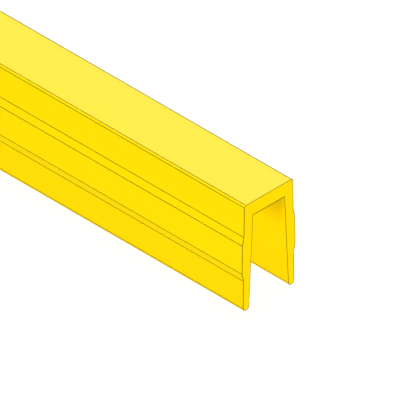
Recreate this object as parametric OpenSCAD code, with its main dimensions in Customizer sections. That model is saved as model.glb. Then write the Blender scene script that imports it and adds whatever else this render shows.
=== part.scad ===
// Push-in cover strip for the groove of a framing profile, extruded in one piece.
// The strip runs along X and stands on its two feet, with the cover face up.
// The origin is under the middle of the strip, on the plane that the feet stand on.

/* [Strip] */
// Length of the strip, sawn square at both ends
strip_len = 500; // [50:1:2000]
// Width across the two flanks at the cover face
cover_w = 8; // [7.5:0.1:12]
// Height from the feet to the cover face
strip_h = 14.9; // [12.5:0.1:22]
// Thickness of the roof that joins the legs
roof_t = 2; // [1:0.1:3.5]
// Flat bevel along both long edges of the cover face
edge_bevel = 0.25; // [0.05:0.05:0.6]

/* [Legs] */
// Thickness of a leg where it leaves the roof
leg_root_t = 1.47; // [1.1:0.01:2]
// Thickness of a leg at its foot, which ends in a full round
leg_foot_t = 1; // [0.6:0.05:1.4]
// Angle in degrees by which each outer flank leans outwards going down
flank_lean = 0.75; // [0:0.05:2]

/* [Barbs] */
// Depth of the barb's upper edge below the cover face, about the thickness of the groove's lip
lip_depth = 4.4; // [3.8:0.1:5]
// Height of the ramp above and below the barb's flat
ramp_h = 1.1; // [0.5:0.1:1.5]
// Height of the barb's flat, which follows the lean of the flank
barb_flat_h = 3.95; // [1:0.05:4.5]
// Distance that the barb's flat stands out from the flank
barb_reach = 0.25; // [0.1:0.01:0.5]

/* [Hidden] */
$fn = 64;
// Safety yellow of the coloured plastic
STRIP_COLOUR = [1, 0.89, 0];

// Heights of the edges that the section turns at
bevel_z = strip_h - edge_bevel;
roof_z = strip_h - roof_t;
barb_top_z = strip_h - lip_depth;
flat_top_z = barb_top_z - ramp_h;
flat_low_z = flat_top_z - barb_flat_h;
barb_low_z = flat_low_z - ramp_h;

// Foot: a circle that touches the standing plane and the leaning flank
foot_r = leg_foot_t / 2;
foot_y = flank_y(foot_r) - foot_r / cos(flank_lean);
foot = [foot_y, foot_r];

// Points where the flank and the inner face run into the foot's circle
foot_outer = foot + foot_r * [cos(flank_lean), sin(flank_lean)];
leg_root = [flank_y(roof_z) - leg_root_t, roof_z];
foot_inner = touch_point(leg_root, foot, foot_r);

// Half the width over the outer flank at height z
function flank_y(z) = cover_w / 2 + (strip_h - z) * tan(flank_lean);

// Point on the outer flank at height z, standing out by reach
function flank_point(z, reach = 0) = [flank_y(z) + reach, z];

// Point where the line from a point above a circle touches the circle's near side
function touch_point(from, centre, r) =
    let (
        way = from - centre,
        bearing = atan2(way[1], way[0]),
        swing = acos(r / norm(way))
    )
    centre + r * [cos(bearing + swing), sin(bearing + swing)];

// Outline of one side: down the inner face, under the foot, then up the flank and barb to the cover
function side_outline() = [
    leg_root,
    foot_inner,
    foot_outer,
    flank_point(barb_low_z),
    flank_point(flat_low_z, barb_reach),
    flank_point(flat_top_z, barb_reach),
    flank_point(barb_top_z),
    flank_point(bevel_z),
    [cover_w / 2 - edge_bevel, strip_h]
];

// The same outline on the other side, walked the other way
function other_side(points) = [
    for (i = [len(points) - 1 : -1 : 0]) [-points[i][0], points[i][1]]
];

// Cross-section of the strip, with its width along x and its height along y
module strip_section() {
    polygon(concat(side_outline(), other_side(side_outline())));
    for (side = [-1, 1])
        translate([side * foot_y, foot_r])
            circle(r = foot_r);
}

// The whole strip, its section drawn out along X
module cover_strip() {
    color(STRIP_COLOUR)
        rotate([90, 0, 90])
            linear_extrude(height = strip_len, center = true)
                strip_section();
}

cover_strip();
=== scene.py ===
"""Models and dresses a push-in cover profile strip, and sets up the studio that shows it.

The strip is one extrusion of yellow plastic. It stands on the two round feet of its tapering
legs, with its cover face up and its length along X. Sizes are metres unless a name says otherwise.
"""

import logging
import math
from dataclasses import dataclass
from enum import Enum
from typing import Callable

import bmesh
import bpy
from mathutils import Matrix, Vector


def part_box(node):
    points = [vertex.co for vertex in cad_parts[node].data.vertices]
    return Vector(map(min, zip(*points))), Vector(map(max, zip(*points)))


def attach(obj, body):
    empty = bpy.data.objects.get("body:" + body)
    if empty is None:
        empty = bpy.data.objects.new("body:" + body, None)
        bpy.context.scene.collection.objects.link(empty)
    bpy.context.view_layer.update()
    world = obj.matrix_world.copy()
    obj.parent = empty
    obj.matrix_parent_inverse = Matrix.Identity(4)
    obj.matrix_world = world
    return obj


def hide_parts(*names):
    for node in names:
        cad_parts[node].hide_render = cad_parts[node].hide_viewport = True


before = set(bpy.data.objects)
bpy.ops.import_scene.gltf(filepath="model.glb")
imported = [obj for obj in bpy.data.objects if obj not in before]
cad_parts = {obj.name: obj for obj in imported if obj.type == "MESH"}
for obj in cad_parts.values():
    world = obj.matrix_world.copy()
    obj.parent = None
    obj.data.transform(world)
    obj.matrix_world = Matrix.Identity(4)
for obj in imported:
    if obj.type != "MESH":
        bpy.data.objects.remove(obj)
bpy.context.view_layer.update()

MM = 0.001
NODE = "cover_strip"
BODY = "root"
MAP = "OFBake"

# Distance within which a point counts as lying on a plane
NEAR = 0.001 * MM
# How far a unit normal reaches along an axis if its face is square to it, leans a little, or slants
SQUARE = 0.99
LEANING = 0.9
SLANTED = 0.5
# Profile of a bevel that is an arc
ROUND = 0.5
# Sockets of a Mix node that is set to colours
MIX_FACTOR, MIX_LOW, MIX_HIGH, MIX_RESULT = 0, 6, 7, 2
# Mean of a noise, and of a wave from 0 to 1
MEAN = 0.5

Colour = tuple[float, float, float]
Rgba = tuple[float, float, float, float]
Axes = tuple[float, float, float]
Socket = bpy.types.NodeSocket
VertTest = Callable[[bmesh.types.BMVert], bool]
EdgeTest = Callable[[bmesh.types.BMEdge], bool]
FaceTest = Callable[[bmesh.types.BMFace], bool]
log = logging.getLogger("cover_profile_strip")


class Role(Enum):
    """What a face of the strip is, which is also its material's place in the slots."""

    SKIN = 0
    PAINTED_EDGE_SHADE = 1
    SAWN = 2
    CHANNEL = 3


class Signal:
    """A value socket that takes Python's arithmetic and adds the Math nodes for it."""

    def __init__(self, graph: "ShaderGraph", socket: Socket) -> None:
        """Keeps the socket and the graph that new nodes go into."""
        self.graph = graph
        self.socket = socket

    def __add__(self, other: "Signal | float") -> "Signal":
        """Returns self + other."""
        return self.graph.math("ADD", self, other)

    def __radd__(self, other: float) -> "Signal":
        """Returns other + self."""
        return self.graph.math("ADD", other, self)

    def __sub__(self, other: "Signal | float") -> "Signal":
        """Returns self - other."""
        return self.graph.math("SUBTRACT", self, other)

    def __rsub__(self, other: float) -> "Signal":
        """Returns other - self."""
        return self.graph.math("SUBTRACT", other, self)

    def __mul__(self, other: "Signal | float") -> "Signal":
        """Returns self * other."""
        return self.graph.math("MULTIPLY", self, other)

    def __rmul__(self, other: float) -> "Signal":
        """Returns other * self."""
        return self.graph.math("MULTIPLY", other, self)


class ShaderGraph:
    """One material's node tree, with a short way to add and link its nodes."""

    def __init__(self, name: str) -> None:
        """Makes an empty node material.

        Args:
            name: The material's name.
        """
        self.material = bpy.data.materials.new(name)
        self.material.use_nodes = True
        self.tree = self.material.node_tree
        self.tree.nodes.clear()

    def node(
        self,
        kind: str,
        settings: dict[str, object] | None = None,
        inputs: dict[str | int, object] | None = None,
    ) -> bpy.types.Node:
        """Adds a node.

        Args:
            kind: The node's type, such as ShaderNodeTexNoise.
            settings: Its own properties, set before its sockets.
            inputs: Values or links of its sockets, by socket name or number.

        Returns:
            The new node.
        """
        node = self.tree.nodes.new(kind)
        for key, value in (settings or {}).items():
            setattr(node, key, value)
        for key, value in (inputs or {}).items():
            source = value.socket if isinstance(value, Signal) else value
            if isinstance(source, Socket):
                self.tree.links.new(source, node.inputs[key])
            else:
                node.inputs[key].default_value = source
        return node

    def math(self, operation: str, left: Signal | float, right: Signal | float = 0.0) -> Signal:
        """Returns the result of one Math node on two values."""
        node = self.node("ShaderNodeMath", {"operation": operation}, {0: left, 1: right})
        return Signal(self, node.outputs[0])

    def place(self) -> Socket:
        """Returns the object's own coordinates, in metres."""
        return self.node("ShaderNodeTexCoord").outputs["Object"]

    def vector(self, operation: str, inputs: dict[str | int, object]) -> bpy.types.Node:
        """Returns a Vector Math node."""
        return self.node("ShaderNodeVectorMath", {"operation": operation}, inputs)

    def scaled(self, vector: Socket, factors: Axes) -> Socket:
        """Returns a vector multiplied axis by axis."""
        return self.vector("MULTIPLY", {0: vector, 1: factors}).outputs[0]

    def mix(self, mode: str, factor: Signal, low: Socket | Rgba, high: Socket | Rgba) -> Socket:
        """Mixes two colours.

        Args:
            mode: The Mix node's blend type.
            factor: Share of the second colour, which is held from 0 to 1.
            low: The first colour.
            high: The second colour.

        Returns:
            The mixed colour.
        """
        settings = {"data_type": "RGBA", "blend_type": mode, "clamp_factor": True}
        inputs = {MIX_FACTOR: factor, MIX_LOW: low, MIX_HIGH: high}
        return self.node("ShaderNodeMix", settings, inputs).outputs[MIX_RESULT]

    def strayed(self, factor: Signal, tone: Colour, drift: float) -> Socket:
        """Returns a tone that strays by a share of itself, darker at 0 and lighter at 1."""
        return self.mix("MIX", factor, shaded(tone, 1 - drift), shaded(tone, 1 + drift))

    def bump(self, height: Signal, depth: float, strength: float) -> Socket:
        """Returns a normal for a relief of the given depth in metres."""
        inputs = {"Height": height, "Distance": depth, "Strength": strength}
        return self.node("ShaderNodeBump", None, inputs).outputs[0]

    def finish(self, inputs: dict[str | int, object]) -> bpy.types.Material:
        """Adds the surface shader and the output.

        Args:
            inputs: Values or links of the surface shader's sockets.

        Returns:
            The finished material.
        """
        shader = self.node("ShaderNodeBsdfPrincipled", None, inputs)
        self.node("ShaderNodeOutputMaterial", None, {"Surface": shader.outputs[0]})
        return self.material


def opaque(colour: Colour) -> Rgba:
    """Returns a colour with its alpha at 1."""
    return (*colour, 1.0)


def shaded(colour: Colour, share: float) -> Rgba:
    """Returns an opaque colour with each channel multiplied by a share."""
    return opaque(tuple(channel * share for channel in colour))


@dataclass(frozen=True)
class Pattern:
    """Soft noise of one size on the plastic, and how much it does to each part of the look.

    Attributes:
        grain_mm: Size of its features along X, Y and Z, in millimetres.
        detail: Octaves of finer noise in it.
        in_colour: Its share of the pattern that the colour strays by.
        in_relief: Its share of the relief.
        in_gloss: Range of roughness that it makes.
    """

    grain_mm: Axes
    detail: float = 2.0
    in_colour: float = 0.0
    in_relief: float = 0.0
    in_gloss: float = 0.0

    def noise(self, graph: ShaderGraph, place: Socket) -> Signal:
        """Adds the noise to a material.

        Args:
            graph: The material's nodes.
            place: The object's own coordinates, in metres.

        Returns:
            A value from 0 to 1.
        """
        per_metre = tuple(1 / (size * MM) for size in self.grain_mm)
        inputs = {"Vector": graph.scaled(place, per_metre), "Scale": 1.0, "Detail": self.detail}
        return Signal(graph, graph.node("ShaderNodeTexNoise", None, inputs).outputs[0])


@dataclass(frozen=True)
class PaintedShade:
    """Band of the strip's height over which painted shade darkens a skin's colour.

    Attributes:
        start_z: Height at which the painted shade starts to darken the skin.
        full_z: Height at which it is deepest.
        colour: Colour that the skin's is multiplied by there.
        end_x: Distance of the sawn ends from the strip's middle.
        lift: Share by which the painted shade is weaker right at a sawn end, where light reaches in.
        reach: Distance from a sawn end over which that share falls to about a third.
    """

    start_z: float
    full_z: float
    colour: Colour
    end_x: float = 0.0
    lift: float = 0.0
    reach: float = 0.5 * MM

    def over(self, graph: ShaderGraph, skin: Socket, place: Socket) -> Socket:
        """Lays the painted shade over a colour.

        Args:
            graph: The material's nodes.
            skin: The colour under the shade.
            place: The object's own coordinates, in metres.

        Returns:
            The shaded colour.
        """
        axes = graph.node("ShaderNodeSeparateXYZ", None, {0: place}).outputs
        depth = (Signal(graph, axes["Z"]) - self.start_z) * (1 / (self.full_z - self.start_z))
        if self.lift:
            from_end = self.end_x - graph.math("ABSOLUTE", Signal(graph, axes["X"]))
            depth = depth - graph.math("EXPONENT", from_end * (-1 / self.reach)) * self.lift
        # Painted shade: multiplies the colour darker, standing in for shade that the lights do not cast.
        return graph.mix("MULTIPLY", depth, skin, opaque(self.colour))


@dataclass(frozen=True)
class DrawnPlastic:
    """Skin of coloured plastic with the fine lines that a die draws along it.

    Attributes:
        name: Name of the material.
        tone: Mean colour, linear.
        roughness: Mean roughness.
        relief: Depth of the drawn lines.
        bump: Strength of the relief.
        drift: Share by which the colour strays from its mean.
        contrast: How far the patterns are spread before they colour the skin.
        streak: The lines that the die draws.
        hair: The finest of those lines.
        cloud: Broad patches of the pressed-out plastic.
        peel: Fine unevenness of the surface.
        shade: Where painted shade darkens the skin, if anywhere.
    """

    name: str
    tone: Colour
    roughness: float = 0.42
    relief: float = 0.004 * MM
    bump: float = 0.5
    drift: float = 0.03
    contrast: float = 1.8
    streak: Pattern = Pattern((260.0, 0.34, 0.34), detail=3.0, in_colour=0.45, in_relief=0.5)
    hair: Pattern = Pattern((90.0, 0.12, 0.12), in_colour=0.2, in_relief=0.3, in_gloss=0.16)
    cloud: Pattern = Pattern((38.0, 9.0, 9.0), in_colour=0.35, in_gloss=0.1)
    peel: Pattern = Pattern((0.45, 0.3, 0.3), in_relief=0.2)
    shade: PaintedShade | None = None

    def material(self) -> bpy.types.Material:
        """Makes the material.

        Returns:
            The node material.
        """
        graph = ShaderGraph(self.name)
        place = graph.place()
        streak = self.streak.noise(graph, place)
        hair = self.hair.noise(graph, place)
        cloud = self.cloud.noise(graph, place)
        peel = self.peel.noise(graph, place)
        colour = (
            streak * self.streak.in_colour
            + hair * self.hair.in_colour
            + cloud * self.cloud.in_colour
        )
        relief = (
            streak * self.streak.in_relief
            + hair * self.hair.in_relief
            + peel * self.peel.in_relief
        )
        gloss = (hair - MEAN) * self.hair.in_gloss + (cloud - MEAN) * self.cloud.in_gloss
        skin = graph.strayed((colour - MEAN) * self.contrast + MEAN, self.tone, self.drift)
        return graph.finish({
            "Base Color": self.shade.over(graph, skin, place) if self.shade else skin,
            "Roughness": self.roughness + gloss,
            "Normal": graph.bump(relief, self.relief, self.bump),
        })


@dataclass(frozen=True)
class SawnPlastic:
    """Cut end of the strip, with the faint arcs that a fine saw blade leaves.

    Attributes:
        name: Name of the material.
        tone: Mean colour, linear.
        roughness: Mean roughness.
        blade_y: Distance from the section's middle to the blade's centre, across the strip.
        blade_z: Height of the blade's centre.
        pitch: Distance between two arcs.
        relief: Depth of the arcs and the grain.
        bump: Strength of the relief.
        drift: Share by which the colour strays from its mean.
        arc_colour: The arcs' share of the pattern that the colour strays by.
        arc_relief: The arcs' share of the relief.
        sway: Turns in radians that the wander moves the arcs by.
        wander: Slow unevenness of the blade's way.
        grain: Fine torn grain of the cut.
    """

    name: str
    tone: Colour
    roughness: float = 0.55
    blade_y: float = -95 * MM
    blade_z: float = 105 * MM
    pitch: float = 0.42 * MM
    relief: float = 0.006 * MM
    bump: float = 0.5
    drift: float = 0.035
    arc_colour: float = 0.45
    arc_relief: float = 0.6
    sway: float = 5.0
    wander: Pattern = Pattern((3.0, 2.2, 2.2), in_colour=0.2)
    grain: Pattern = Pattern(
        (0.22, 0.22, 0.22), detail=3.0, in_colour=0.35, in_relief=0.4, in_gloss=0.2
    )

    def material(self) -> bpy.types.Material:
        """Makes the material.

        Returns:
            The node material.
        """
        graph = ShaderGraph(self.name)
        place = graph.place()
        centred = graph.vector("SUBTRACT", {0: place, 1: (0.0, self.blade_y, self.blade_z)}).outputs[0]
        flat = graph.scaled(centred, (0.0, 1.0, 1.0))
        radius = Signal(graph, graph.vector("LENGTH", {0: flat}).outputs["Value"])
        wander = self.wander.noise(graph, place)
        grain = self.grain.noise(graph, place)
        arcs = graph.math("SINE", radius * (math.tau / self.pitch) + wander * self.sway) * MEAN + MEAN
        colour = arcs * self.arc_colour + grain * self.grain.in_colour + wander * self.wander.in_colour
        relief = arcs * self.arc_relief + grain * self.grain.in_relief
        return graph.finish({
            "Base Color": graph.strayed(colour, self.tone, self.drift),
            "Roughness": self.roughness + (grain - MEAN) * self.grain.in_gloss,
            "Normal": graph.bump(relief, self.relief, self.bump),
        })


@dataclass(frozen=True)
class PaleFloor:
    """Plain white studio floor.

    Attributes:
        name: Name of the material.
        tone: Colour, linear.
        roughness: Roughness, that of matt card.
        glow_tone: Colour of the light that the lit sheet gives off by itself, linear.
        glow: Strength of that light.
    """

    name: str = "pale_floor"
    tone: Colour = (0.15, 0.15, 0.15)
    roughness: float = 0.9
    glow_tone: Colour = (1.0, 1.0, 1.0)
    glow: float = 0.96

    def material(self) -> bpy.types.Material:
        """Makes the material.

        Returns:
            The node material.
        """
        return ShaderGraph(self.name).finish({
            "Base Color": opaque(self.tone),
            "Roughness": self.roughness,
            "Specular IOR Level": 0.0,
            "Emission Color": opaque(self.glow_tone),
            "Emission Strength": self.glow,
        })


def deselect_all() -> None:
    """Deselects every object, as the loaded nodes come in selected."""
    for thing in bpy.context.selected_objects:
        thing.select_set(False)


@dataclass
class MeshBench:
    """Holds one object in edit mode and selects its elements by a test.

    Attributes:
        piece: The object that is worked on.
    """

    piece: bpy.types.Object

    def __enter__(self) -> "MeshBench":
        """Enters edit mode on the piece.

        Returns:
            The bench itself.
        """
        bpy.context.view_layer.objects.active = self.piece
        bpy.ops.object.mode_set(mode="EDIT")
        return self

    def __exit__(self, *_: object) -> None:
        """Leaves edit mode."""
        bpy.ops.object.mode_set(mode="OBJECT")

    def _pick(self, mode: str, test: VertTest | EdgeTest | FaceTest) -> None:
        """Selects the elements of one kind that pass a test.

        Args:
            mode: VERT, EDGE or FACE.
            test: Takes an element and says whether it is selected.
        """
        bpy.ops.mesh.select_mode(type=mode)
        bpy.ops.mesh.select_all(action="DESELECT")
        mesh = bmesh.from_edit_mesh(self.piece.data)
        sets = {"VERT": mesh.verts, "EDGE": mesh.edges, "FACE": mesh.faces}
        for element in [element for element in sets[mode] if test(element)]:
            element.select_set(True)
        mesh.select_flush_mode()
        bmesh.update_edit_mesh(self.piece.data)

    def pick_verts(self, test: VertTest) -> None:
        """Selects vertices by a test of the vertex."""
        self._pick("VERT", test)

    def pick_edges(self, test: EdgeTest) -> None:
        """Selects edges by a test of the edge."""
        self._pick("EDGE", test)

    def pick_faces(self, test: FaceTest) -> None:
        """Selects faces by a test of the face."""
        self._pick("FACE", test)

    def assign(self, role: Role) -> None:
        """Gives the selected faces the finish of a role."""
        self.piece.active_material_index = role.value
        bpy.ops.object.material_slot_assign()


@dataclass(frozen=True)
class Rim:
    """Border of one kind of face that keeps the dark painted edge shade.

    Attributes:
        role: Finish of the face inside the border.
        test: Says whether a face is of that kind.
        along: Width of the border beside the edges that run along the strip.
        ends: Width of the border beside the sawn ends.
        apart: Whether each face gets a border of its own, and not the faces together.
        guard: Width of a second border inside the first, which keeps the map sharp beside it.
    """

    role: Role
    test: FaceTest
    along: float
    ends: float
    apart: bool = True
    guard: float = 0.06 * MM


@dataclass(frozen=True)
class Stretch:
    """Lays a length out along a map, with extra room beside the places where fine rims lie.

    Attributes:
        length: Length that is laid out.
        places: Places along it that get extra room.
        reach: Distance on either side of such a place that is drawn larger.
        gain: How many times larger it is drawn.
    """

    length: float
    places: tuple[float, ...]
    reach: float
    gain: float

    def _drawn(self, place: float) -> float:
        """Returns the length drawn from the start to a place."""
        near = sum(min(max(place - spot + self.reach, 0.0), 2 * self.reach) for spot in self.places)
        return place + (self.gain - 1) * near

    def at(self, place: float) -> float:
        """Returns where a place lies on the map, from 0 at the start to 1 at the end."""
        start = self._drawn(0.0)
        return (self._drawn(place) - start) / (self._drawn(self.length) - start)


@dataclass(frozen=True)
class Outline:
    """Closed outline of the section, which finds how far round it a point lies.

    Attributes:
        points: Corners of the outline in order, as distance across the strip and height.
    """

    points: tuple[Vector, ...]

    def sides(self) -> list[tuple[Vector, Vector]]:
        """Returns the two ends of each side, in order."""
        return list(zip(self.points, self.points[1:] + self.points[:1]))

    def length(self) -> float:
        """Returns the whole way round."""
        return sum((end - start).length for start, end in self.sides())

    def place(self, point: Vector) -> float:
        """Finds the spot of the outline that is nearest to a point.

        Args:
            point: Distance across the strip and height.

        Returns:
            The way round from the first corner to that spot.
        """
        gone, nearest, found = 0.0, math.inf, 0.0
        for start, end in self.sides():
            side = end - start
            share = min(max((point - start).dot(side) / side.length_squared, 0.0), 1.0)
            off = (start + side * share - point).length
            if off < nearest:
                nearest, found = off, gone + share * side.length
            gone += side.length
        return found


@dataclass(frozen=True)
class MapLayout:
    """Where the unrolled skin and the two sawn ends lie on the strip's map, as shares of its side.

    Attributes:
        gap: Room round the skin and beside the ends.
        skin_width: Width of the skin, which runs along the strip.
        end_side: Length on a sawn end that the map's side stands for.
        end_rows: Height at which each end's feet stand, the end at +X first.
        rim_room: Length on either side of an edge that the skin draws larger.
        rim_gain: How many times larger it is drawn.
        tip_room: Length beside each sawn end that the skin draws larger.
        tip_gain: How many times larger it is drawn.
    """

    gap: float = 0.005
    skin_width: float = 0.73
    end_side: float = 35.5 * MM
    end_rows: tuple[float, float] = (0.05, 0.53)
    rim_room: float = 0.15 * MM
    rim_gain: float = 4.0
    tip_room: float = 0.11 * MM
    tip_gain: float = 50.0

    def skin_place(self, along: float, around: float) -> tuple[float, float]:
        """Returns the map's place for shares of the way along and around the skin."""
        return self.gap + self.skin_width * along, self.gap + (1 - 2 * self.gap) * around

    def end_place(self, across: float, up: float, at_high_x: bool) -> tuple[float, float]:
        """Finds the map's place for a point of a sawn end.

        Args:
            across: Distance of the point from the strip's side at -Y.
            up: Height of the point above the feet.
            at_high_x: Whether it lies on the end at +X.

        Returns:
            The place on the map.
        """
        left = self.skin_width + 3 * self.gap
        row = self.end_rows[0 if at_high_x else 1]
        return left + across / self.end_side, row + up / self.end_side


@dataclass
class CoverStrip:
    """The strip: one U-shaped extrusion with barbed legs and round feet.

    Attributes:
        low: Lowest corner of the strip's box.
        high: Highest corner of the strip's box.
        cover_w: Width across the flanks at the cover face.
        roof_t: Thickness of the roof.
        edge_bevel: Flat bevel along the cover face's long edges.
        root_t: Thickness of a leg where it leaves the roof.
        foot_t: Thickness of a leg at its foot.
        flank_lean_deg: Outward lean of the flanks going down.
        lip_depth: Depth of the barb's upper edge below the cover face.
        ramp_h: Height of each ramp of the barb.
        barb_flat_h: Height of the barb's flat.
        barb_reach: Distance that the barb's flat stands out.
        edge_round: Rounding of every sharp edge.
        round_steps: Faces on the rounding of an edge.
        foot_steps: Faces on each quarter of a foot's round.
        foot_guard: Distance from a sawn end to the cut that keeps the map sharp on a foot's round.
        foot_room: Height above a foot's round up to which no edge along the strip is rounded.
        far_rim_gain: Extra width of the painted edge shade along the cover face's far edge.
        roof_rim_gain: Extra width of the painted edge shade under the roof on the sawn ends.
        leg_rim_gain: Extra width of the painted edge shade on the far side of the sawn ends.
        rim_reach: Least and most distance from an edge at which its rim's vertices lie.
        flat_deg: Largest turn between faces that are merged into one.
        edge_deg: Least turn between faces that counts as an edge.
        soft_deg: Largest turn between faces that is shaded smooth.
        even_weight: How much more a large face counts in the shading than a small one, in percent.
        barb_shade_blur: Height above and below the barb's lower edge over which the painted shade below
            the barb sets in.
        roof_shade_depth: Depth below the roof at which the painted shade in the channel begins.
        layout: How the strip's map is laid out.
    """

    low: Vector
    high: Vector
    cover_w: float = 8.0 * MM
    roof_t: float = 2.0 * MM
    edge_bevel: float = 0.25 * MM
    root_t: float = 1.47 * MM
    foot_t: float = 1.0 * MM
    flank_lean_deg: float = 0.75
    lip_depth: float = 4.4 * MM
    ramp_h: float = 1.1 * MM
    barb_flat_h: float = 3.95 * MM
    barb_reach: float = 0.25 * MM
    edge_round: float = 0.025 * MM
    round_steps: int = 3
    foot_steps: int = 12
    foot_guard: float = 0.105 * MM
    foot_room: float = 0.05 * MM
    far_rim_gain: float = 0.077 * MM
    roof_rim_gain: float = 0.05 * MM
    leg_rim_gain: float = 0.03 * MM
    rim_reach: tuple[float, float] = (0.03 * MM, 0.2 * MM)
    flat_deg: float = 1.0
    edge_deg: float = 5.0
    soft_deg: float = 42.0
    even_weight: int = 100
    barb_shade_blur: float = 0.05 * MM
    roof_shade_depth: float = 4.9 * MM
    layout: MapLayout = MapLayout()

    @property
    def roof_z(self) -> float:
        """Returns the height of the roof's underside."""
        return self.high.z - self.roof_t

    def flank_y(self, z: float) -> float:
        """Returns half the width over the plain flank at height z."""
        return self.cover_w / 2 + (self.high.z - z) * math.tan(math.radians(self.flank_lean_deg))

    def inner_y(self, z: float) -> float:
        """Finds how far the channel's wall stands from the middle plane.

        Args:
            z: Height on the wall.

        Returns:
            Half the width of the channel there.
        """
        foot_z = self.foot_t / 2
        root = self.flank_y(self.roof_z) - self.root_t
        foot = self.flank_y(foot_z) - self.foot_t
        return root + (self.roof_z - z) / (self.roof_z - foot_z) * (foot - root)

    def leg_levels(self) -> list[tuple[float, float]]:
        """Lists the levels at which a leg's flank turns, from the roof down.

        Returns:
            Height and outward reach of each level.
        """
        barb_top = self.high.z - self.lip_depth
        flat_top = barb_top - self.ramp_h
        flat_low = flat_top - self.barb_flat_h
        barb_low = flat_low - self.ramp_h
        return [
            (barb_top, 0.0),
            (flat_top, self.barb_reach),
            (flat_low, self.barb_reach),
            (barb_low, 0.0),
            (self.low.z, 0.0),
        ]

    def finishes(self) -> dict[Role, DrawnPlastic | SawnPlastic]:
        """Gives the plastic its tones: painted shade below the barbs and under the roof, deeper
        painted-shade tones in the channel and on the sawn ends, and a dark painted edge shade along
        every edge.

        Returns:
            The finish of each role.
        """
        barb_low, _ = self.leg_levels()[-2]
        # Painted shade: the flank is painted a little darker below the barb.
        painted_shade_below_barb = PaintedShade(
            start_z=barb_low + self.barb_shade_blur,
            full_z=barb_low - self.barb_shade_blur,
            colour=(1.0, 0.955, 1.0),
        )
        # Painted shade: the channel's walls are painted darker towards the roof, less so near the sawn
        # ends where light reaches in.
        painted_shade_under_roof = PaintedShade(
            start_z=self.roof_z - self.roof_shade_depth,
            full_z=self.roof_z,
            colour=(0.46, 0.5, 0.5),
            end_x=self.high.x,
            lift=0.7,
        )
        return {
            Role.SKIN: DrawnPlastic("drawn_yellow", tone=(0.98, 0.72, 0.0), shade=painted_shade_below_barb),
            # Painted edge shade: a narrow, very dark line laid along every edge of the strip.
            Role.PAINTED_EDGE_SHADE: DrawnPlastic("painted_edge_shade", tone=(0.2, 0.158, 0.0), roughness=0.5),
            # The sawn ends' tone is deeper than the skin's: painted shade that makes the ends render
            # darker; the saw arcs on them are real.
            Role.SAWN: SawnPlastic("sawn_yellow_painted_shade", tone=(0.98, 0.61, 0.0)),
            # The channel's walls have a deeper tone than the skin: painted shade inside the channel.
            Role.CHANNEL: DrawnPlastic(
                "channel_yellow_painted_shade", tone=(0.98, 0.66, 0.0), roughness=0.48, shade=painted_shade_under_roof
            ),
        }

    def add_roof(self) -> bpy.types.Object:
        """Adds the roof as a block whose sides lean with the flanks.

        Returns:
            The block, named as the finished piece.
        """
        deselect_all()
        middle_z = (self.high.z + self.roof_z) / 2
        bpy.ops.mesh.primitive_cube_add(size=1.0, location=(0.0, 0.0, middle_z))
        piece = bpy.context.active_object
        piece.name = "dressed_cover_strip"
        piece.data.name = piece.name
        piece.scale = (self.high.x - self.low.x, self.cover_w, self.roof_t)
        bpy.ops.object.transform_apply(location=True, rotation=False, scale=True)
        with MeshBench(piece) as bench:
            bench.pick_verts(lambda v: v.co.z < middle_z)
            self.widen(self.flank_y(self.roof_z) / (self.cover_w / 2))
        return piece

    @staticmethod
    def widen(factor: float) -> None:
        """Scales the selection across the strip, about its middle plane."""
        bpy.ops.transform.resize(value=(1.0, factor, 1.0), center_override=(0.0, 0.0, 0.0))

    def draw_legs(self, bench: MeshBench) -> None:
        """Cuts the roof's underside in three and draws the two outer strips down level by level.

        Args:
            bench: The bench that holds the roof.
        """
        top = self.roof_z
        root = self.inner_y(top)
        for side in (-1, 1):
            bench.pick_faces(self.looks_down)
            bpy.ops.mesh.bisect(plane_co=(0.0, side * root, 0.0), plane_no=(0.0, 1.0, 0.0))
        outer, inner = self.flank_y(top), root
        for z, reach in self.leg_levels():
            bench.pick_faces(
                lambda f: self.looks_down(f)
                and abs(f.calc_center_median().y) > root
                and abs(f.calc_center_median().z - top) < NEAR
            )
            bpy.ops.mesh.extrude_region_move(TRANSFORM_OT_translate={"value": (0.0, 0.0, z - top)})
            middle = (outer + inner) / 2
            next_outer, next_inner = self.flank_y(z) + reach, self.inner_y(z)
            bench.pick_verts(lambda v: abs(v.co.z - z) < NEAR and abs(v.co.y) > middle)
            self.widen(next_outer / outer)
            bench.pick_verts(lambda v: abs(v.co.z - z) < NEAR and abs(v.co.y) < middle)
            self.widen(next_inner / inner)
            top, outer, inner = z, next_outer, next_inner

    def round_feet(self, bench: MeshBench) -> None:
        """Turns the flat end of each leg into a full round.

        Args:
            bench: The bench that holds the roof and its square legs.
        """
        half = (self.flank_y(self.low.z) - self.inner_y(self.low.z)) / 2
        bench.pick_edges(
            lambda e: self.runs_along(e) and max(v.co.z for v in e.verts) < self.low.z + NEAR
        )
        bpy.ops.mesh.bevel(
            offset=half,
            segments=self.foot_steps,
            profile=ROUND,
            affect="EDGES",
            clamp_overlap=True,
        )
        bpy.ops.mesh.select_all(action="SELECT")
        bpy.ops.mesh.remove_doubles(threshold=NEAR / 2)

    def bevel_cover(self, bench: MeshBench) -> None:
        """Cuts the flat bevel along both long edges of the cover face.

        Args:
            bench: The bench that holds the strip.
        """
        bench.pick_edges(
            lambda e: self.runs_along(e) and min(v.co.z for v in e.verts) > self.high.z - NEAR
        )
        bpy.ops.mesh.bevel(offset=self.edge_bevel, segments=1, affect="EDGES")

    @staticmethod
    def runs_along(edge: bmesh.types.BMEdge) -> bool:
        """Says whether an edge runs along the strip."""
        return abs(edge.verts[0].co.x - edge.verts[1].co.x) > LEANING * edge.calc_length()

    def is_edge(self, edge: bmesh.types.BMEdge) -> bool:
        """Says whether an edge is a real turn of the surface."""
        return len(edge.link_faces) == 2 and edge.calc_face_angle() > math.radians(self.edge_deg)

    def looks_down(self, face: bmesh.types.BMFace) -> bool:
        """Says whether a face is level and looks down."""
        return face.normal.z < -SQUARE

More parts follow.
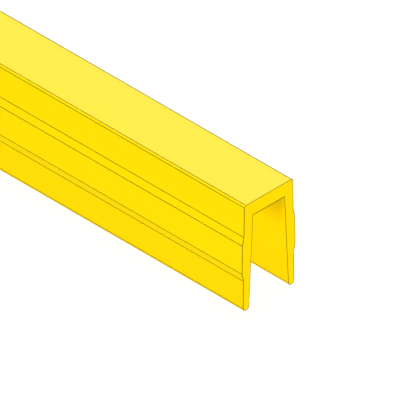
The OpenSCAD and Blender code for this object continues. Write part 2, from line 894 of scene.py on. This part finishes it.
    def is_cover(self, face: bmesh.types.BMFace) -> bool:
        """Says whether a face is the cover face."""
        return face.normal.z > SQUARE

    def is_bevel(self, face: bmesh.types.BMFace) -> bool:
        """Says whether a face is a flat bevel beside the cover face."""
        bevel_z = self.high.z - self.edge_bevel
        return SLANTED < face.normal.z < LEANING and face.calc_center_median().z > bevel_z

    def is_ceiling(self, face: bmesh.types.BMFace) -> bool:
        """Says whether a face is the roof's underside."""
        return self.looks_down(face) and face.calc_center_median().z > self.high.z / 2

    def is_foot(self, face: bmesh.types.BMFace) -> bool:
        """Says whether a face is part of a foot's round."""
        return not self.is_sawn(face) and face.calc_center_median().z < self.foot_t / 2

    def is_outside(self, face: bmesh.types.BMFace) -> bool:
        """Says whether a face is part of the outer flank or its barb."""
        centre = face.calc_center_median()
        return centre.z > self.foot_t and abs(face.normal.y) > LEANING and face.normal.y * centre.y > 0

    def is_inside(self, face: bmesh.types.BMFace) -> bool:
        """Says whether a face is a leg's side towards the channel."""
        centre = face.calc_center_median()
        return centre.z > self.foot_t and abs(face.normal.y) > LEANING and face.normal.y * centre.y < 0

    def is_sawn(self, face: bmesh.types.BMFace) -> bool:
        """Says whether a face is a sawn end."""
        return abs(face.normal.x) > SQUARE

    def lay_rims(self, bench: MeshBench) -> None:
        """Gives each face its finish, and leaves a narrow rim along its borders in the dark painted edge
        shade.

        Args:
            bench: The bench that holds the strip, which has the painted edge shade all over.
        """
        rims = (
            Rim(Role.SKIN, self.is_cover, along=0.058 * MM, ends=0.020 * MM),
            Rim(Role.SKIN, self.is_bevel, along=0.049 * MM, ends=0.020 * MM),
            Rim(Role.SKIN, self.is_outside, along=0.052 * MM, ends=0.045 * MM),
            Rim(Role.CHANNEL, self.is_inside, along=0.050 * MM, ends=0.020 * MM),
            Rim(Role.SKIN, self.is_ceiling, along=0.050 * MM, ends=0.020 * MM),
            Rim(Role.SKIN, self.is_foot, along=0.045 * MM, ends=0.045 * MM, apart=False, guard=0.0),
            Rim(Role.SAWN, self.is_sawn, along=0.096 * MM, ends=0.096 * MM, guard=0.0),
        )
        for rim in rims:
            bench.pick_faces(rim.test)
            bpy.ops.mesh.inset(thickness=rim.along, use_individual=rim.apart)
            bench.assign(rim.role)
            longer = (self.high.x - rim.ends) / (self.high.x - rim.along)
            bpy.ops.transform.resize(value=(longer, 1.0, 1.0), center_override=(0.0, 0.0, 0.0))
            if rim.guard:
                bpy.ops.mesh.inset(thickness=rim.guard, use_individual=rim.apart)

    def guard_feet(self, bench: MeshBench) -> None:
        """Cuts the feet's rounds near the sawn ends, where the other faces have their second border.

        Args:
            bench: The bench that holds the strip with its rims.
        """
        for end in (-1, 1):
            bench.pick_faces(self.is_foot)
            bpy.ops.mesh.bisect(
                plane_co=(end * (self.high.x - self.foot_guard), 0.0, 0.0),
                plane_no=(1.0, 0.0, 0.0),
                threshold=NEAR,
            )

    def widen_rims(self, bench: MeshBench) -> None:
        """Widens the painted edge shade at the cover's far edge and on the cuts, so those dark lines
        show stronger.

        Args:
            bench: The bench that holds the strip with its rims.
        """
        cover_y = self.cover_w / 2 - self.edge_bevel
        least, most = self.rim_reach

        def on_cut(v: bmesh.types.BMVert) -> bool:
            """Says whether a vertex lies on a sawn end."""
            return abs(v.co.x) > self.high.x - NEAR

        bench.pick_verts(lambda v: v.co.z > self.high.z - NEAR and least < cover_y - v.co.y < most)
        bpy.ops.transform.translate(value=(0.0, -self.far_rim_gain, 0.0))
        bench.pick_verts(
            lambda v: on_cut(v) and least < v.co.z - self.roof_z < most and abs(v.co.y) < cover_y
        )
        bpy.ops.transform.translate(value=(0.0, 0.0, self.roof_rim_gain))
        bench.pick_verts(
            lambda v: on_cut(v)
            and v.co.y > (self.flank_y(v.co.z) + self.inner_y(v.co.z)) / 2
            and not any(self.is_edge(edge) for edge in v.link_edges)
        )
        bpy.ops.transform.translate(value=(0.0, -self.leg_rim_gain, 0.0))

    def round_edges(self, bench: MeshBench) -> None:
        """Rounds every edge of the section and of the sawn ends a little, but not a foot's tangents.

        Args:
            bench: The bench that holds the strip with its rims.
        """
        foot_top = self.foot_t / 2 + self.foot_room
        bench.pick_edges(
            lambda e: self.is_edge(e) and not (self.runs_along(e) and e.verts[0].co.z < foot_top)
        )
        bpy.ops.mesh.bevel(
            offset_type="OFFSET",
            offset=self.edge_round,
            segments=self.round_steps,
            profile=ROUND,
            affect="EDGES",
            clamp_overlap=True,
        )

    def outline(self) -> tuple[Outline, list[int]]:
        """Works out the section's outline, from the channel's corner round the foot and over the cover.

        Returns:
            The outline, and which of its corners are edges of the strip.
        """
        half = (self.flank_y(self.low.z) - self.inner_y(self.low.z)) / 2
        middle = self.flank_y(self.low.z) - half
        steps = 2 * self.foot_steps
        turns = [math.pi * step / steps for step in range(steps + 1)]
        foot = [
            (middle - half * math.cos(turn), self.low.z + half * (1 - math.sin(turn)))
            for turn in turns
        ]
        flank = [(self.flank_y(z) + reach, z) for z, reach in reversed(self.leg_levels()[:-1])]
        bevel_z = self.high.z - self.edge_bevel
        cover = [(self.flank_y(bevel_z), bevel_z), (self.cover_w / 2 - self.edge_bevel, self.high.z)]
        right = [(self.inner_y(self.roof_z), self.roof_z), *foot, *flank, *cover]
        left = [(-across, up) for across, up in reversed(right)]
        points = tuple(Vector(point) for point in right + left)
        inside_foot = range(2, len(foot))
        last = len(points) - 1
        edges = [i for i in range(len(points)) if i not in inside_foot and last - i not in inside_foot]
        return Outline(points), edges

    def unfold(self, piece: bpy.types.Object) -> None:
        """Gives the piece its map: the skin unrolled as one sheet, and the two sawn ends beside it.

        Args:
            piece: The finished strip.
        """
        outline, edges = self.outline()
        way_round = outline.length()
        corners = (*(outline.place(outline.points[i]) for i in edges), way_round)
        around = Stretch(way_round, corners, self.layout.rim_room, self.layout.rim_gain)
        length = self.high.x - self.low.x
        along = Stretch(length, (0.0, length), self.layout.tip_room, self.layout.tip_gain)
        mesh = piece.data
        while mesh.uv_layers:
            mesh.uv_layers.remove(mesh.uv_layers[0])
        layer = mesh.uv_layers.new(name=MAP)
        for face in mesh.polygons:
            is_end = abs(face.normal.x) > SLANTED
            middle = outline.place(face.center.yz)
            for loop in face.loop_indices:
                spot = mesh.vertices[mesh.loops[loop].vertex_index].co
                if is_end:
                    across = spot.y - self.low.y
                    place = self.layout.end_place(across, spot.z - self.low.z, face.normal.x > 0)
                else:
                    gone = outline.place(spot.yz)
                    gone -= way_round * round((gone - middle) / way_round)
                    place = self.layout.skin_place(along.at(spot.x - self.low.x), around.at(gone))
                layer.data[loop].uv = place

    def build(self) -> bpy.types.Object:
        """Models the strip, dresses it and puts it in its CAD node's stead.

        Returns:
            The finished piece.
        """
        piece = self.add_roof()
        piece.data.materials.clear()
        finishes = self.finishes()
        for role in Role:
            piece.data.materials.append(finishes[role].material())
        with MeshBench(piece) as bench:
            self.draw_legs(bench)
            self.round_feet(bench)
            self.bevel_cover(bench)
            bench.pick_faces(lambda f: True)
            # Paints the whole strip in the dark edge shade first; the insets give each face back its own
            # finish and leave only the rims dark.
            bench.assign(Role.PAINTED_EDGE_SHADE)
            bpy.ops.mesh.dissolve_limited(angle_limit=math.radians(self.flat_deg))
            self.lay_rims(bench)
            self.guard_feet(bench)
            self.widen_rims(bench)
            self.round_edges(bench)
        bpy.ops.object.shade_smooth_by_angle(angle=math.radians(self.soft_deg))
        even = piece.modifiers.new("even_flats", "WEIGHTED_NORMAL")
        even.keep_sharp = True
        even.weight = self.even_weight
        bpy.ops.object.modifier_apply(modifier=even.name)
        self.unfold(piece)
        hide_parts(NODE)
        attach(piece, BODY)
        return piece


@dataclass(frozen=True)
class PhotoCamera:
    """Parallel-projection camera that frames the strip as the photograph does.

    Attributes:
        azimuth_deg: Bearing of the camera, from looking along +Y towards looking along -X.
        elevation_deg: Height of the camera above the horizon, an isometric view's.
        image_px: Side of the square picture.
        px_per_mm: Picture scale in the plane across the view.
        corner_px: Where the photograph shows the middle of the end face's upper edge.
        distance: Distance from the strip.
        clip: Nearest and farthest distance that it sees.
    """

    azimuth_deg: float = 45.0
    elevation_deg: float = math.degrees(math.atan(math.sqrt(0.5)))
    image_px: float = 400.0
    px_per_mm: float = 8.6626
    corner_px: tuple[float, float] = (268.73, 192.11)
    distance: float = 0.6
    clip: tuple[float, float] = (0.01, 10.0)

    def place(self, corner: Vector) -> bpy.types.Object:
        """Adds the camera and makes it the scene's.

        Args:
            corner: The middle of the end face's upper edge.

        Returns:
            The camera object.
        """
        azimuth, elevation = math.radians(self.azimuth_deg), math.radians(self.elevation_deg)
        back = Vector((
            math.sin(azimuth) * math.cos(elevation),
            -math.cos(azimuth) * math.cos(elevation),
            math.sin(elevation),
        ))
        right = Vector((math.cos(azimuth), math.sin(azimuth), 0.0))
        up = back.cross(right)
        px = MM / self.px_per_mm
        across = self.corner_px[0] - self.image_px / 2
        down = self.corner_px[1] - self.image_px / 2
        target = corner - right * (across * px) + up * (down * px)
        data = bpy.data.cameras.new("photo_camera")
        data.type = "ORTHO"
        data.ortho_scale = self.image_px * px
        data.clip_start, data.clip_end = self.clip
        camera = bpy.data.objects.new("photo_camera", data)
        bpy.context.collection.objects.link(camera)
        camera.location = target + back * self.distance
        camera.rotation_euler = (-back).to_track_quat("-Z", "Y").to_euler()
        bpy.context.scene.camera = camera
        return camera


class Feeds(Enum):
    """What a light feeds on a surface, as polarising filters on a studio light choose it."""

    COLOUR = "colour"
    SHEEN = "sheen"


@dataclass(frozen=True)
class SoftSun:
    """Broad, soft light that reaches the whole strip evenly.

    Attributes:
        name: Name of the light.
        bearing_deg: Where it stands, turned from +X towards +Y.
        height_deg: Its height above the horizon.
        spread_deg: Width of the light as the strip sees it.
        strength: Light on a face square to it, in watts per square metre.
        feeds: Whether it brings out the plastic's own colour or its sheen.
    """

    name: str
    bearing_deg: float
    height_deg: float
    spread_deg: float
    strength: float
    feeds: Feeds = Feeds.COLOUR

    def place(self) -> bpy.types.Object:
        """Adds the light, turned to the strip.

        Returns:
            The light object.
        """
        bearing, height = math.radians(self.bearing_deg), math.radians(self.height_deg)
        towards = Vector((
            math.cos(bearing) * math.cos(height),
            math.sin(bearing) * math.cos(height),
            math.sin(height),
        ))
        data = bpy.data.lights.new(self.name, "SUN")
        data.angle = math.radians(self.spread_deg)
        data.energy = self.strength
        light = bpy.data.objects.new(self.name, data)
        bpy.context.collection.objects.link(light)
        light.visible_diffuse = self.feeds is Feeds.COLOUR
        light.visible_glossy = self.feeds is Feeds.SHEEN
        light.location = towards
        light.rotation_euler = towards.to_track_quat("Z", "Y").to_euler()
        return light


@dataclass(frozen=True)
class Studio:
    """Plain white floor, even white surroundings and broad soft lights.

    Attributes:
        floor_side: Side of the square floor.
        sky_tone: Colour of the even surroundings, linear.
        sky: Strength of the light from them.
        lights: The soft lights.
    """

    floor_side: float = 8.0
    sky_tone: Colour = (1.0, 1.0, 1.0)
    sky: float = 0.04
    lights: tuple[SoftSun, ...] = (
        SoftSun("key_light", bearing_deg=-41.5, height_deg=4.5, spread_deg=12.0, strength=5.15),
        SoftSun("overhead_light", bearing_deg=135.0, height_deg=56.0, spread_deg=40.0, strength=3.07),
        SoftSun("back_light", bearing_deg=135.0, height_deg=8.0, spread_deg=30.0, strength=2.95),
        SoftSun(
            "sheen_light",
            bearing_deg=135.0,
            height_deg=50.0,
            spread_deg=40.0,
            strength=0.8,
            feeds=Feeds.SHEEN,
        ),
    )

    def add_floor(self) -> bpy.types.Object:
        """Adds the floor, which sends no light, reflection or shadow onto the strip.

        Returns:
            The floor.
        """
        deselect_all()
        bpy.ops.mesh.primitive_plane_add(size=self.floor_side)
        floor = bpy.context.active_object
        floor.name = "studio_floor"
        floor.data.materials.append(PaleFloor().material())
        floor.visible_diffuse = False
        floor.visible_glossy = False
        floor.visible_shadow = False
        return floor

    def add_light(self) -> None:
        """Adds the even surroundings and the lights, and sets a plain colour transform."""
        scene = bpy.context.scene
        world = bpy.data.worlds.new("studio_white")
        world.use_nodes = True
        background = world.node_tree.nodes["Background"]
        background.inputs["Color"].default_value = opaque(self.sky_tone)
        background.inputs["Strength"].default_value = self.sky
        scene.world = world
        for light in self.lights:
            light.place()
        scene.view_settings.view_transform = "Standard"
        scene.view_settings.look = "None"


def main() -> None:
    """Builds the strip, the camera and the studio."""
    logging.basicConfig(level=logging.INFO, format="%(name)s: %(message)s")
    low, high = (Vector(corner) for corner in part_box(NODE))
    strip = CoverStrip(low, high)
    camera = PhotoCamera().place(Vector((high.x, 0.0, high.z)))
    log.info("camera at %s", tuple(round(value, 4) for value in camera.location))
    piece = strip.build()
    log.info("%s: %d faces", piece.name, len(piece.data.polygons))
    studio = Studio()
    floor = studio.add_floor()
    studio.add_light()
    log.info("%s: %.1f m", floor.name, floor.dimensions.x)


if __name__ == "__main__":
    main()
